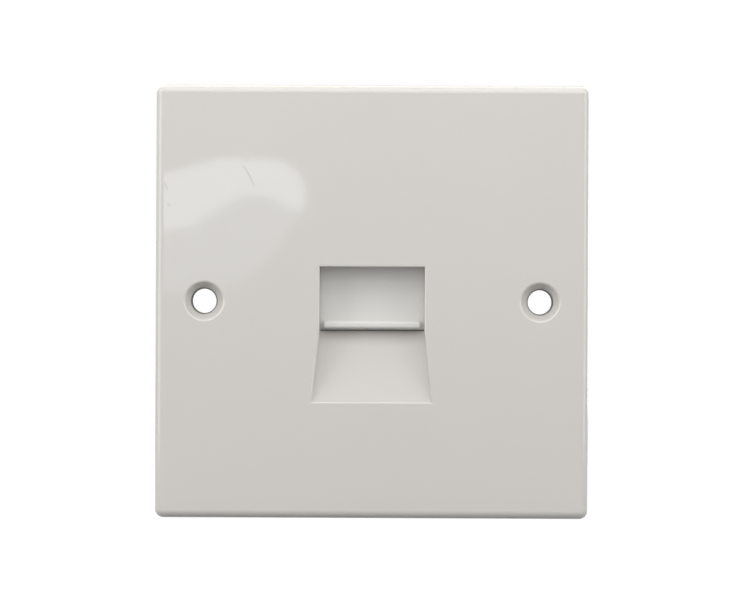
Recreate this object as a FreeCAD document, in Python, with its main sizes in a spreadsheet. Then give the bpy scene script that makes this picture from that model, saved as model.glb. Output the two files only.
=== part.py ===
import FreeCAD, Part

import math
import os
import re

import Sketcher
from FreeCAD import Vector

# Telephone wall socket: a flush plate with a shuttered plug opening and the jack, board and
# terminals behind it.
# Frame: +X to the right as seen from the front, +Z up, +Y into the wall. The origin is the
# centre of the plate on the wall's surface, so y = 0 is the rim that meets the wall.

# Driving sizes in millimetres, angles in degrees
SIZES = {
    # Plate
    "plate_side": 68.0,
    "plate_depth": 7.0,
    "plate_draft": 1.5,
    "plate_corner": 1.3,
    "plate_inner_corner": 0.8,
    "front_round": 1.2,
    "front_wall": 2.4,
    "skirt_wall": 2.0,
    # Holes for the two fixing screws
    "fixing_margin": 7.75,
    "fixing_hole": 3.8,
    "fixing_lead": 0.2,
    "fixing_lead_depth": 0.6,
    "countersink": 6.1,
    "countersink_depth": 1.4,
    "countersink_break": 0.15,
    "fixing_pillar": 7.4,
    "rib_wall": 1.2,
    "rib_setback": 1.0,
    # Window and sloping recess
    "window_width": 16.4,
    "window_top": 5.4,
    "ramp_top_drop": 4.6,
    "ramp_foot_drop": 15.7,
    "ramp_foot_width": 18.7,
    "ramp_foot_step": 0.3,
    "recess_depth": 4.05,
    "recess_wall": 1.4,
    "recess_round": 0.28,
    "crest_bevel": 0.12,
    # Shutter and its guides
    "slide_gap": 0.15,
    "shutter_thickness": 1.2,
    "shutter_overlap": 0.8,
    "shutter_head": 1.8,
    "shutter_stop_gap": 0.1,
    "shutter_travel": 8.1,
    "shutter_bevel": 0.2,
    "lip_length": 15.1,
    "lip_height": 1.15,
    "lip_reach": 2.4,
    "lip_drop": 4.2,
    "lip_round": 0.4,
    "lip_end_bevel": 0.12,
    "rail_wall": 1.5,
    "rail_hook": 1.4,
    "rail_hook_thickness": 1.0,
    "rail_end_gap": 0.7,
    # Return spring, its seat on the shutter and its ledge on the plate
    "spring_length": 12.7,
    "spring_diameter": 3.6,
    "spring_wire": 0.35,
    "spring_turns": 5.0,
    "spring_sides": 6.0,
    "spring_steps": 12.0,
    "spring_closed_ratio": 1.1,
    "spring_end_gap": 0.04,
    "seat_width": 4.8,
    "seat_thickness": 1.0,
    "seat_depth": 3.4,
    "peg_diameter": 2.0,
    "peg_length": 1.8,
    "ledge_width": 7.0,
    "ledge_thickness": 1.8,
    "ledge_reach": 0.3,
    # Jack housing
    "board_stand": 11.0,
    "flange_thickness": 1.6,
    "flange_drop": 8.5,
    "flange_gap": 0.3,
    "cavity_width": 15.2,
    "cavity_height": 7.2,
    "cavity_rise": 0.4,
    "cavity_mouth": 0.5,
    "jack_wall": 1.6,
    "jack_back": 1.4,
    "roof": 3.4,
    "plug_body": 12.8,
    "latch_rib": 0.8,
    "latch_rib_height": 1.2,
    "keeper_height": 3.0,
    "keeper_reach": 1.0,
    "keeper_start": 2.6,
    "keeper_length": 2.2,
    "jack_peg": 1.6,
    "jack_peg_length": 1.2,
    "jack_peg_spread": 15.0,
    "jack_peg_drop": 3.4,
    # Contact carrier and contact wires
    "contact_count": 6,
    "contact_pitch": 1.5,
    "contact_wire": 0.45,
    "contact_slot": 0.7,
    "contact_bend": 0.75,
    "contact_slope": 27.0,
    "contact_leg": 6.2,
    "contact_tip_bend": 1.2,
    "contact_tip_turn": 42.0,
    "contact_gap": 0.1,
    "contact_offset": 1.2,
    "carrier_front": 1.0,
    "carrier_side": 0.9,
    "carrier_shoulder": 0.8,
    "carrier_shoulder_height": 1.0,
    "carrier_web": 1.0,
    "carrier_comb_end": 9.4,
    "carrier_gap": 0.05,
    "wire_depth": 0.85,
    # Circuit board
    "board_width": 40.0,
    "board_height": 34.0,
    "board_thickness": 1.6,
    "board_corner": 1.5,
    "pin_tail": 1.2,
    "wire_hole_gap": 0.15,
    "pillar_margin_x": 5.0,
    "pillar_margin_z": 2.5,
    "board_pillar": 5.0,
    "locating_peg": 2.0,
    "board_hole_gap": 0.1,
    # Board screws
    "screw_diameter": 2.2,
    "screw_length": 6.5,
    "screw_tip": 1.0,
    "screw_head": 4.2,
    "screw_head_height": 1.5,
    "screw_head_bevel": 0.6,
    "screw_gap": 0.03,
    "screw_hole_spare": 1.5,
    "cross_width": 0.6,
    "cross_length": 2.2,
    "cross_depth": 0.9,
    # Terminal blocks and forked terminals
    "terminal_margin": 6.0,
    "terminal_pitch": 6.6,
    "terminal_rows": 3,
    "block_width": 9.0,
    "block_end": 2.1,
    "block_depth": 8.0,
    "block_screw_gap": 1.8,
    "block_chamfer": 0.7,
    "divider_slot": 1.2,
    "divider_depth": 3.0,
    "wire_slot": 1.5,
    "wire_slot_depth": 5.2,
    "blade_thickness": 0.5,
    "blade_width": 3.8,
    "blade_height": 6.2,
    "blade_gap": 0.15,
    "fork_slot": 0.36,
    "fork_depth": 4.2,
    "fork_mouth": 1.5,
    "fork_mouth_depth": 0.9,
    "blade_pin": 0.9,
    "blade_pin_tail": 0.8,
}

# Places worked out from the sizes. Names that end in _y are distances into the wall,
# names that end in _z are heights.
PLACES = {
    "fixing_spacing": "plate_side - 2 * fixing_margin",
    "pillar_spread_x": "board_width - 2 * pillar_margin_x",
    "pillar_spread_z": "board_height - 2 * pillar_margin_z",
    "terminal_spread": "board_width - 2 * terminal_margin",
    "front_y": "-plate_depth",
    "inner_y": "front_y + front_wall",
    "collar_y": "front_y + recess_depth",
    "shutter_front_y": "collar_y + slide_gap",
    "shutter_back_y": "shutter_front_y + shutter_thickness",
    "guide_y": "shutter_back_y + slide_gap",
    "slide_y": "shutter_front_y + shutter_thickness / 2",
    "ramp_back_y": "collar_y + recess_wall",
    "board_back_y": "board_stand + board_thickness",
    "block_top_y": "board_back_y + block_depth",
    "ramp_top_z": "-ramp_top_drop",
    "ramp_foot_z": "-ramp_foot_drop",
    "ramp_run": "(ramp_foot_drop - ramp_top_drop) / (recess_depth - ramp_foot_step)",
    "ramp_back_z": "ramp_top_z - (ramp_back_y - inner_y) * ramp_run",
    "recess_half": "ramp_foot_width / 2 + recess_wall",
    "shutter_half": "window_width / 2 + shutter_overlap",
    "shutter_foot_z": "ramp_top_z + shutter_stop_gap",
    "shutter_top_z": "window_top + shutter_head",
    "lip_foot_z": "-lip_drop",
    "seat_z": "shutter_top_z + seat_thickness",
    "ledge_z": "seat_z + spring_length",
    "rail_inner": "shutter_half + slide_gap",
    "rail_outer": "rail_inner + rail_wall",
    "rail_top_z": "shutter_top_z + shutter_travel + rail_end_gap",
    "hook_foot_z": "shutter_top_z + flange_gap",
    "flange_top_z": "shutter_top_z - flange_gap",
    "cavity_floor_z": "ramp_top_z + cavity_rise",
    "cavity_top_z": "cavity_floor_z + cavity_height",
    "roof_z": "cavity_top_z + roof",
    "cavity_end_y": "board_stand - jack_back",
    "jack_half": "cavity_width / 2 + jack_wall",
    "comb_half": "contact_pitch * (contact_count - 1) / 2",
    "comb_x": "plug_body / 2 + contact_offset - cavity_width / 2",
    "carrier_half": "comb_half + contact_slot / 2 + carrier_side",
    "shoulder_half": "carrier_half + carrier_shoulder",
    "shoulder_z": "roof_z - carrier_shoulder_height",
    "wire_z": "roof_z - wire_depth + contact_wire / 2",
    "contact_front_y": "carrier_front + carrier_web + contact_gap + contact_wire / 2",
    "screw_hole": "screw_diameter + 2 * screw_gap",
    "block_half": "terminal_pitch * (terminal_rows - 1) / 2 + blade_width / 2 + block_end",
    "block_end_z": "pillar_spread_z / 2 - screw_head / 2 - block_screw_gap",
    "block_z": "block_end_z - block_half",
}

doc = FreeCAD.newDocument("telephone_wall_socket")
sheet = doc.addObject("Spreadsheet::Sheet", "Sizes")
for row, (alias, size) in enumerate(SIZES.items(), start=1):
    sheet.set(f"A{row}", alias.replace("_", " "))
    sheet.set(f"B{row}", str(size))
    sheet.setAlias(f"B{row}", alias)
doc.recompute()


def formula(text):
    """An expression on the sheet's cells for a formula written in the names above."""

    def cell(match):
        word = match.group(0)
        if word in SIZES:
            return f"Sizes.{word}"
        if word in PLACES:
            return f"({formula(PLACES[word])})"
        return word

    return re.sub(r"[a-z_]{3,}", cell, str(text))


def number(text):
    """The value of a formula."""
    return float(sheet.evalExpression(formula(text)))


# Each plane's role in a body's origin and whether its normal points along the frame's axis
PLANES = {"XY": ("XY_Plane", 1), "YZ": ("YZ_Plane", 1), "XZ": ("XZ_Plane", -1)}


def new_body(name):
    """A body whose label names its file."""
    body = doc.addObject("PartDesign::Body", name)
    body.Label = name
    return body


def origin_item(body, role):
    """A plane or axis of the body's own origin."""
    return next(item for item in body.Origin.OriginFeatures if item.Role == role)


def new_sketch(body, name, plane, place):
    """A sketch on an origin plane moved along the frame's axis to place."""
    role, sign = PLANES[plane]
    sketch = body.newObject("Sketcher::SketchObject", name + "_sketch")
    sketch.AttachmentSupport = [(origin_item(body, role), "")]
    sketch.MapMode = "FlatFace"
    sketch.setExpression("AttachmentOffset.Base.z", formula(f"{sign} * ({place})"))
    return sketch


def fix_point(sketch, geometry, point, across, up):
    """Tie a point of a sketch to the sheet."""
    for kind, text in (("DistanceX", across), ("DistanceY", up)):
        tie = Sketcher.Constraint(kind, -1, 1, geometry, point, number(text))
        index = sketch.addConstraint(tie)
        sketch.setExpression(f"Constraints[{index}]", formula(text))


def polygon(sketch, corners):
    """A closed outline through the corners."""
    points = [Vector(number(across), number(up), 0) for across, up in corners]
    first = sketch.GeometryCount
    count = len(points)
    for index, point in enumerate(points):
        sketch.addGeometry(Part.LineSegment(point, points[(index + 1) % count]), False)
    for index, (across, up) in enumerate(corners):
        following = first + (index + 1) % count
        joined = Sketcher.Constraint("Coincident", first + index, 2, following, 1)
        sketch.addConstraint(joined)
        fix_point(sketch, first + index, 1, across, up)


def rectangle(sketch, left, right, low, high):
    """A rectangle between four places."""
    polygon(sketch, ((left, low), (right, low), (right, high), (left, high)))


def circle(sketch, across, up, diameter):
    """A circle about a point."""
    centre = Vector(number(across), number(up), 0)
    radius = number(diameter) / 2
    index = sketch.addGeometry(Part.Circle(centre, Vector(0, 0, 1), radius), False)
    fix_point(sketch, index, 3, across, up)
    size = sketch.addConstraint(Sketcher.Constraint("Diameter", index, 2 * radius))
    sketch.setExpression(f"Constraints[{size}]", formula(diameter))


def extrude(body, kind, name, plane, start, end, shapes):
    """Pad or pocket the shapes along the frame's axis from start to end."""
    sketch = new_sketch(body, name, plane, start)
    for draw, *values in shapes:
        draw(sketch, *values)
    before = body.Shape.Volume if body.Tip else 0.0
    feature = body.newObject(f"PartDesign::{kind}", name)
    feature.Profile = sketch
    feature.setExpression("Length", formula(f"({end}) - ({start})"))
    along = PLANES[plane][1] > 0
    feature.Reversed = not along if kind == "Pad" else along
    doc.recompute()
    change = body.Shape.Volume - before
    if (change > 0) != (kind == "Pad") or abs(change) < 1e-6:
        raise RuntimeError(f"{body.Label}: {name} changed the volume by {change}")
    return feature


def pad(body, name, plane, start, end, *shapes):
    return extrude(body, "Pad", name, plane, start, end, shapes)


def pocket(body, name, plane, start, end, *shapes):
    return extrude(body, "Pocket", name, plane, start, end, shapes)


def edges_where(body, test):
    """Names of the body's edges that pass a test."""
    return [
        f"Edge{index}"
        for index, edge in enumerate(body.Tip.Shape.Edges, start=1)
        if test(edge)
    ]


def dress(body, kind, name, size, test):
    """Fillet or chamfer the edges that pass the test."""
    names = edges_where(body, test)
    if not names:
        raise RuntimeError(f"{body.Label}: {name} found no edges")
    base = body.Tip
    feature = body.newObject(f"PartDesign::{kind}", name)
    feature.Base = (base, names)
    feature.setExpression("Radius" if kind == "Fillet" else "Size", formula(size))
    doc.recompute()
    if feature.Shape.isNull() or not feature.Shape.isValid():
        raise RuntimeError(f"{body.Label}: {name} failed on {names}")
    return feature


def near(first, second):
    return abs(first - second) < 1e-4


def spans(edge, **limits):
    """Whether every end of the edge lies between the limits on each named axis."""
    tolerance = 1e-4
    return all(
        low - tolerance <= getattr(vertex.Point, axis) <= high + tolerance
        for vertex in edge.Vertexes
        for axis, (low, high) in limits.items()
    )


def runs_along(edge, axis):
    """Whether the edge is straight and parallel to the axis."""
    if len(edge.Vertexes) != 2 or edge.Curve.TypeId != "Part::GeomLine":
        return False
    run = edge.Vertexes[1].Point - edge.Vertexes[0].Point
    return near(abs(run.dot(axis)), run.Length)


ALONG_X = Vector(1, 0, 0)
ALONG_Y = Vector(0, 1, 0)
ALONG_Z = Vector(0, 0, 1)


def repeat(body, name, feature, role, length, count):
    """Copies of a feature in a row."""
    row = body.newObject("PartDesign::LinearPattern", name)
    row.Originals = [feature]
    row.Direction = (origin_item(body, role), [""])
    row.setExpression("Length", formula(length))
    row.setExpression("Occurrences", formula(count))
    body.Tip = row
    doc.recompute()
    return row


def place(body, x="0", y="0", z="0"):
    """Bind the body's place to the sheet."""
    for axis, text in (("x", x), ("y", y), ("z", z)):
        body.setExpression(f"Placement.Base.{axis}", formula(text))


# Faceplate

def plate_shell(body):
    """The drafted outside, its rounded corners and front edge, and the hollow behind."""
    half = "plate_side / 2"
    square = (rectangle, f"-{half}", half, f"-{half}", half)
    outside = pad(body, "outside", "XZ", "front_y", "0", square)
    lean = {
        f"Face{index}": face.normalAt(0, 0).y
        for index, face in enumerate(outside.Shape.Faces, start=1)
    }
    draft = body.newObject("PartDesign::Draft", "side_draft")
    draft.Base = (outside, [name for name, along in lean.items() if abs(along) < 0.5])
    draft.setExpression("Angle", formula("plate_draft"))
    doc.recompute()
    draft.NeutralPlane = (outside, [name for name, along in lean.items() if along > 0.5])
    draft.Reversed = True
    doc.recompute()
    front_y = number("front_y")
    dress(
        body, "Fillet", "corners", "plate_corner",
        lambda edge: not any(
            spans(edge, y=(level, level)) for level in (front_y, 0.0)
        ),
    )
    dress(
        body, "Fillet", "front_edge", "front_round",
        lambda edge: spans(edge, y=(front_y, front_y)),
    )
    inner = "plate_side / 2 - skirt_wall"
    pocket(
        body, "hollow", "XZ", "inner_y", "0",
        (rectangle, f"-({inner})", inner, f"-({inner})", inner),
    )
    reach = number(inner)
    dress(
        body, "Fillet", "hollow_corners", "plate_inner_corner",
        lambda edge: runs_along(edge, ALONG_Y)
        and near(abs(edge.Vertexes[0].X), reach)
        and near(abs(edge.Vertexes[0].Z), reach),
    )


def fixing_pillars(body):
    """Pillars behind the two fixing holes, each tied to its side of the skirt by a rib.

    Each hole narrows from its countersink by a short steep lead.
    """
    across = "fixing_spacing / 2"
    pad(
        body, "fixing_pillars", "XZ", "inner_y", "0",
        (circle, f"-{across}", "0", "fixing_pillar"),
        (circle, across, "0", "fixing_pillar"),
    )
    rib = ("rib_wall / 2", "plate_side / 2 - skirt_wall / 2")
    pad(
        body, "ribs", "XZ", "inner_y", "-rib_setback",
        (rectangle, f"-({rib[1]})", f"-{across}", f"-{rib[0]}", rib[0]),
        (rectangle, across, rib[1], f"-{rib[0]}", rib[0]),
    )
    mouth, foot = "(fixing_hole + 2 * fixing_lead)", "(front_y + countersink_depth)"
    steps = (
        ("countersinks", "front_y", foot, "countersink", mouth),
        ("fixing_leads", foot, f"{foot} + fixing_lead_depth", mouth, "fixing_hole"),
        ("fixing_holes", f"{foot} + fixing_lead_depth", "0", "fixing_hole", "fixing_hole"),
    )
    for name, start, end, wide, narrow in steps:
        bores = pocket(
            body, name, "XZ", start, end,
            (circle, f"-{across}", "0", wide),
            (circle, across, "0", wide),
        )
        slope = f"({wide} - {narrow}) / 2 / ({end} - ({start}))"
        bores.setExpression("TaperAngle", formula(f"-atan({slope})"))
        doc.recompute()
    front_y, radius = number("front_y"), number("countersink") / 2
    dress(
        body, "Chamfer", "countersink_rims", "countersink_break",
        lambda edge: edge.Curve.TypeId == "Part::GeomCircle"
        and near(edge.Curve.Radius, radius)
        and near(edge.Curve.Center.y, front_y),
    )


def recess(body):
    """The collar of the window, the sloping recess below it and the shelf at its top."""
    pad(
        body, "recess_block", "YZ", "-recess_half", "recess_half",
        (
            polygon,
            (
                ("inner_y", "window_top + recess_wall"),
                ("inner_y", "ramp_back_z"),
                ("ramp_back_y", "ramp_top_z"),
                ("collar_y", "ramp_top_z"),
                ("collar_y", "window_top + recess_wall"),
            ),
        ),
    )
    pocket(
        body, "window", "XZ", "front_y", "collar_y",
        (rectangle, "-window_width / 2", "window_width / 2", "ramp_top_z", "window_top"),
    )
    before = body.Shape.Volume
    top = new_sketch(body, "ramp_top", "XY", "ramp_top_z")
    rectangle(
        top, "-window_width / 2", "window_width / 2", "front_y - recess_wall", "collar_y"
    )
    foot = new_sketch(body, "ramp_foot", "XY", "ramp_foot_z")
    rectangle(
        foot, "-ramp_foot_width / 2", "ramp_foot_width / 2",
        "front_y - recess_wall", "front_y + ramp_foot_step",
    )
    ramp = body.newObject("PartDesign::SubtractiveLoft", "ramp")
    ramp.Profile = top
    ramp.Sections = [foot]
    ramp.Ruled = True
    doc.recompute()
    if body.Shape.Volume >= before:
        raise RuntimeError("faceplate: the ramp cut nothing")
    front_y = number("front_y")
    half, foot_z = number("ramp_foot_width / 2"), number("ramp_foot_z")
    top_z = number("window_top")
    dress(
        body, "Fillet", "recess_edges", "recess_round",
        lambda edge: spans(
            edge, x=(-half, half), y=(front_y, front_y), z=(foot_z, top_z)
        ),
    )
    pocket(
        body, "ramp_crest", "YZ", "-window_width / 2", "window_width / 2",
        (
            polygon,
            (
                ("collar_y + crest_bevel", "ramp_top_z"),
                ("collar_y - crest_bevel", "ramp_top_z + crest_bevel"),
                ("collar_y - crest_bevel", "ramp_top_z - crest_bevel * ramp_run"),
            ),
        ),
    )


def guides(body):
    """Rails at both sides of the shutter, hooked over it above its closed place."""
    sides = (("-rail_outer", "-rail_inner"), ("rail_inner", "rail_outer"))
    pad(
        body, "rails", "XZ", "inner_y", "guide_y",
        *((rectangle, left, right, "ramp_top_z", "rail_top_z") for left, right in sides),
    )
    hooks = (
        ("-rail_outer", "-(rail_inner - rail_hook)"),
        ("rail_inner - rail_hook", "rail_outer"),
    )
    pad(
        body, "hooks", "XZ", "guide_y", "guide_y + rail_hook_thickness",
        *((rectangle, left, right, "hook_foot_z", "rail_top_z") for left, right in hooks),
    )


def spring_ledge(body):
    """The ledge that the return spring pushes against, with a peg inside the spring."""
    pad(
        body, "ledge", "XZ", "inner_y", "slide_y + spring_diameter / 2 + ledge_reach",
        (
            rectangle, "-ledge_width / 2", "ledge_width / 2",
            "ledge_z", "ledge_z + ledge_thickness",
        ),
    )
    pad(
        body, "ledge_peg", "XY", "ledge_z - peg_length", "ledge_z",
        (circle, "0", "slide_y", "peg_diameter"),
    )


def board_pillars(body):
    """Four pillars for the board: two take its screws and two end in locating pegs."""
    across, up = "pillar_spread_x / 2", "pillar_spread_z / 2"
    pillars = [(f"{a}{across}", f"{b}{up}") for a in ("-", "") for b in ("-", "")]
    pegs = ((f"-{across}", f"-{up}"), (across, up))
    holes = ((f"-{across}", up), (across, f"-{up}"))
    pad(
        body, "board_pillars", "XZ", "inner_y", "board_stand",
        *((circle, x, z, "board_pillar") for x, z in pillars),
    )
    pad(
        body, "board_pegs", "XZ", "board_stand", "board_back_y",
        *((circle, x, z, "locating_peg") for x, z in pegs),
    )
    pocket(
        body, "screw_holes", "XZ",
        "board_back_y - screw_length - screw_hole_spare", "board_stand",
        *((circle, x, z, "screw_hole") for x, z in holes),
    )


def faceplate():
    body = new_body("faceplate")
    plate_shell(body)
    recess(body)
    guides(body)
    spring_ledge(body)
    fixing_pillars(body)
    board_pillars(body)


# Shutter and its return spring

def shutter():
    """Sliding plate with the finger lip at its foot and the spring's seat at its top."""
    body = new_body("shutter")
    pad(
        body, "leaf", "XZ", "shutter_front_y", "shutter_back_y",
        (rectangle, "-shutter_half", "shutter_half", "shutter_foot_z", "shutter_top_z"),
    )
    back_y, foot_z = number("shutter_back_y"), number("shutter_foot_z")
    front_y, top_z = number("shutter_front_y"), number("shutter_top_z")
    dress(
        body, "Chamfer", "leaf_corners", "shutter_bevel",
        lambda edge: runs_along(edge, ALONG_Y),
    )
    pad(
        body, "lip", "YZ", "-lip_length / 2", "lip_length / 2",
        (
            rectangle, "shutter_front_y - lip_reach", "shutter_front_y",
            "lip_foot_z", "lip_foot_z + lip_height",
        ),
    )
    nose_y = number("shutter_front_y - lip_reach")
    dress(
        body, "Fillet", "lip_nose", "lip_round",
        lambda edge: runs_along(edge, ALONG_X) and spans(edge, y=(nose_y, nose_y)),
    )
    lip_end = number("lip_length / 2")
    dress(
        body, "Chamfer", "lip_ends", "lip_end_bevel",
        lambda edge: spans(edge, y=(nose_y, front_y))
        and near(abs(edge.Vertexes[0].X), lip_end)
        and near(edge.Vertexes[0].X, edge.Vertexes[-1].X)
        and not spans(edge, y=(front_y, front_y)),
    )
    depth = "seat_depth / 2"
    pad(
        body, "seat", "XY", "shutter_top_z", "seat_z",
        (
            rectangle, "-seat_width / 2", "seat_width / 2",
            f"slide_y - {depth}", f"slide_y + {depth}",
        ),
    )
    seat_z = number("seat_z")
    dress(
        body, "Chamfer", "seat_corners", "shutter_bevel",
        lambda edge: runs_along(edge, ALONG_Z) and spans(edge, z=(top_z, seat_z)),
    )
    pad(
        body, "seat_peg", "XY", "seat_z", "seat_z + peg_length",
        (circle, "0", "slide_y", "peg_diameter"),
    )
    dress(
        body, "Chamfer", "leaf_foot", "shutter_bevel",
        lambda edge: runs_along(edge, ALONG_X)
        and spans(edge, z=(foot_z, foot_z), y=(front_y, back_y)),
    )


def shutter_spring():
    """Compression spring with closed ends, between the shutter's seat and the ledge."""
    wire = number("spring_wire")
    radius = (number("spring_diameter") - wire) / 2
    turns = number("spring_turns")
    low = number("seat_z + spring_end_gap") + wire / 2
    high = number("ledge_z - spring_end_gap") - wire / 2
    steps_per_turn = round(number("spring_steps"))
    steps = round(turns * steps_per_turn)
    closed_pitch = number("spring_closed_ratio * spring_wire")

    def rise(step):
        """Pitch weight of one step: the first and last turn lie almost closed."""
        turn = (step + 0.5) / steps_per_turn
        from_end = min(turn, turns - turn)
        closed = closed_pitch * turns / (high - low)
        return closed if from_end < 1 else 1 + closed

    weights = [rise(step) for step in range(steps)]
    heights = [low + (high - low) * sum(weights[:n]) / sum(weights) for n in range(steps + 1)]
    points = [
        Vector(
            radius * math.cos(2 * math.pi * step / steps_per_turn),
            radius * math.sin(2 * math.pi * step / steps_per_turn),
            height,
        )
        for step, height in enumerate(heights)
    ]
    curve = Part.BSplineCurve()
    curve.interpolate(points)
    path = Part.Wire([curve.toShape()])
    tangent = curve.tangent(curve.FirstParameter)[0]
    outward = Vector(1, 0, 0)
    upward = tangent.cross(outward).normalize()
    sides = round(number("spring_sides"))
    angles = [2 * math.pi * (side + 0.5) / sides for side in range(sides)]
    corners = [
        points[0] + (outward * math.cos(angle) + upward * math.sin(angle)) * (wire / 2)
        for angle in angles
    ]
    section = Part.makePolygon([*corners, corners[0]])
    spring = doc.addObject("Part::Feature", "shutter_spring")
    spring.Label = "shutter_spring"
    spring.Shape = path.makePipeShell([section], True, True)
    spring.setExpression("Placement.Base.y", formula("slide_y"))


# Jack housing and its contacts

def jack_housing():
    """Moulded plug cavity whose flange closes the back of the shutter's guides."""
    body = new_body("jack_housing")
    pad(
        body, "flange", "XZ", "guide_y", "guide_y + flange_thickness",
        (rectangle, "-rail_outer", "rail_outer", "-flange_drop", "flange_top_z"),
    )
    pad(
        body, "case", "XZ", "guide_y", "board_stand",
        (rectangle, "-jack_half", "jack_half", "cavity_floor_z - jack_wall", "roof_z"),
    )
    half = "cavity_width / 2"
    pocket(
        body, "cavity", "XZ", "guide_y", "cavity_end_y",
        (rectangle, f"-{half}", half, "cavity_floor_z", "cavity_top_z"),
    )
    guide_y = number("guide_y")
    reach, floor_z, top_z = number(half), number("cavity_floor_z"), number("cavity_top_z")
    dress(
        body, "Chamfer", "mouth", "cavity_mouth",
        lambda edge: spans(
            edge, x=(-reach, reach), y=(guide_y, guide_y), z=(floor_z, top_z)
        ),
    )
    latch_rib = ("plug_body - cavity_width / 2", "plug_body - cavity_width / 2 + latch_rib")
    pad(
        body, "latch_ribs", "XZ", "guide_y + cavity_mouth", "cavity_end_y",
        (rectangle, *latch_rib, "cavity_floor_z", "cavity_floor_z + latch_rib_height"),
        (rectangle, *latch_rib, "cavity_top_z - latch_rib_height", "cavity_top_z"),
    )
    pad(
        body, "latch_keeper", "XY",
        "(cavity_floor_z + cavity_top_z - keeper_height) / 2",
        "(cavity_floor_z + cavity_top_z + keeper_height) / 2",
        (
            polygon,
            (
                (half, "keeper_start"),
                (half, "keeper_start + keeper_length"),
                (f"{half} - keeper_reach", "keeper_start + keeper_length"),
            ),
        ),
    )
    window = "carrier_half + carrier_gap"
    pocket(
        body, "carrier_window", "XZ", "carrier_front - carrier_gap", "board_stand",
        (
            rectangle, f"comb_x - ({window})", f"comb_x + {window}",
            "cavity_top_z", "roof_z",
        ),
    )
    step = "shoulder_half + carrier_gap"
    pocket(
        body, "carrier_step", "XZ", "carrier_front - carrier_gap", "board_stand",
        (rectangle, f"comb_x - ({step})", f"comb_x + {step}", "shoulder_z", "roof_z"),
    )
    spread = "jack_peg_spread / 2"
    pad(
        body, "board_pegs", "XZ", "board_stand", "board_stand + jack_peg_length",
        (circle, f"-{spread}", "-jack_peg_drop", "jack_peg"),
        (circle, spread, "-jack_peg_drop", "jack_peg"),
    )


def contact_carrier():
    """Slotted insert in the roof of the jack housing: the comb of the contact wires."""
    body = new_body("contact_carrier")
    pad(
        body, "insert", "XZ", "carrier_front", "board_stand",
        (rectangle, "-carrier_half", "carrier_half", "cavity_top_z", "roof_z"),
    )
    pad(
        body, "shoulders", "XZ", "carrier_front", "board_stand",
        (rectangle, "-shoulder_half", "shoulder_half", "shoulder_z", "roof_z"),
    )
    left = ("-comb_half - contact_slot / 2", "-comb_half + contact_slot / 2")
    slot = pocket(
        body, "slot", "XZ", "carrier_front + carrier_web", "carrier_comb_end",
        (rectangle, *left, "cavity_top_z", "roof_z"),
    )
    repeat(body, "slots", slot, "X_Axis", "2 * comb_half", "contact_count")
    groove = pocket(
        body, "groove", "XZ", "carrier_comb_end", "board_stand",
        (rectangle, *left, "roof_z - wire_depth", "roof_z"),
    )
    repeat(body, "grooves", groove, "X_Axis", "2 * comb_half", "contact_count")
    place(body, x="comb_x")


def contact(index):
    """Sprung square wire: soldered in the board, bent over in front and down into the cavity."""
    body = new_body(f"contact_{index + 1}")
    slope = math.radians(number("contact_slope"))
    turn = math.radians(number("contact_tip_turn"))
    bend, tip_bend = number("contact_bend"), number("contact_tip_bend")
    wire_z, leg = number("wire_z"), number("contact_leg")
    tail_y = number("board_back_y + pin_tail")
    centre = Vector(number("contact_front_y") + bend, wire_z - bend, 0)

    def about(middle, radius, angle):
        return middle + Vector(math.cos(angle), math.sin(angle), 0) * radius

    tail = Vector(tail_y, wire_z, 0)
    crown = about(centre, bend, math.pi / 2)
    front = about(centre, bend, math.pi)
    heel = about(centre, bend, 3 * math.pi / 2 - slope)
    along = Vector(math.cos(slope), -math.sin(slope), 0)
    toe = heel + along * leg
    tip_centre = about(toe, tip_bend, math.pi / 2 - slope)
    tip_middle = about(tip_centre, tip_bend, -math.pi / 2 - slope + turn / 2)
    tip = about(tip_centre, tip_bend, -math.pi / 2 - slope + turn)
    spine = new_sketch(body, "spine", "YZ", "0")
    spine.addGeometry(
        [
            Part.LineSegment(tail, crown),
            Part.Arc(crown, front, heel),
            Part.LineSegment(heel, toe),
            Part.Arc(toe, tip_middle, tip),
        ],
        False,
    )
    profile = new_sketch(body, "section", "XZ", "board_back_y + pin_tail")
    half = "contact_wire / 2"
    rectangle(profile, f"-{half}", half, f"wire_z - {half}", f"wire_z + {half}")
    doc.recompute()
    wire = body.newObject("PartDesign::AdditivePipe", "wire")
    wire.Profile = profile
    wire.Spine = (spine, [f"Edge{edge}" for edge in range(1, spine.GeometryCount + 1)])
    place(body, x=f"comb_x + contact_pitch * {index} - comb_half")


# Circuit board and what is fixed to it

# Where the middle of each terminal block stands: the left one clear of the screw above it,
# the right one clear of the screw below it
BLOCK_PLACES = (("-terminal_spread / 2", "block_z"), ("terminal_spread / 2", "-block_z"))


def terminal_places():
    """Where each forked terminal stands on the board, numbered down the left block first."""
    top = "terminal_pitch * (terminal_rows - 1) / 2"
    for x, z in BLOCK_PLACES:
        for row in range(SIZES["terminal_rows"]):
            yield x, f"{z} + {top} - terminal_pitch * {row}"


def punched(x, z, wide, high):
    """Outline of a hole punched round a tail of that width and height."""
    across, up = f"({wide} / 2 + wire_hole_gap)", f"({high} / 2 + wire_hole_gap)"
    return rectangle, f"{x} - {across}", f"{x} + {across}", f"{z} - {up}", f"{z} + {up}"


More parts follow.
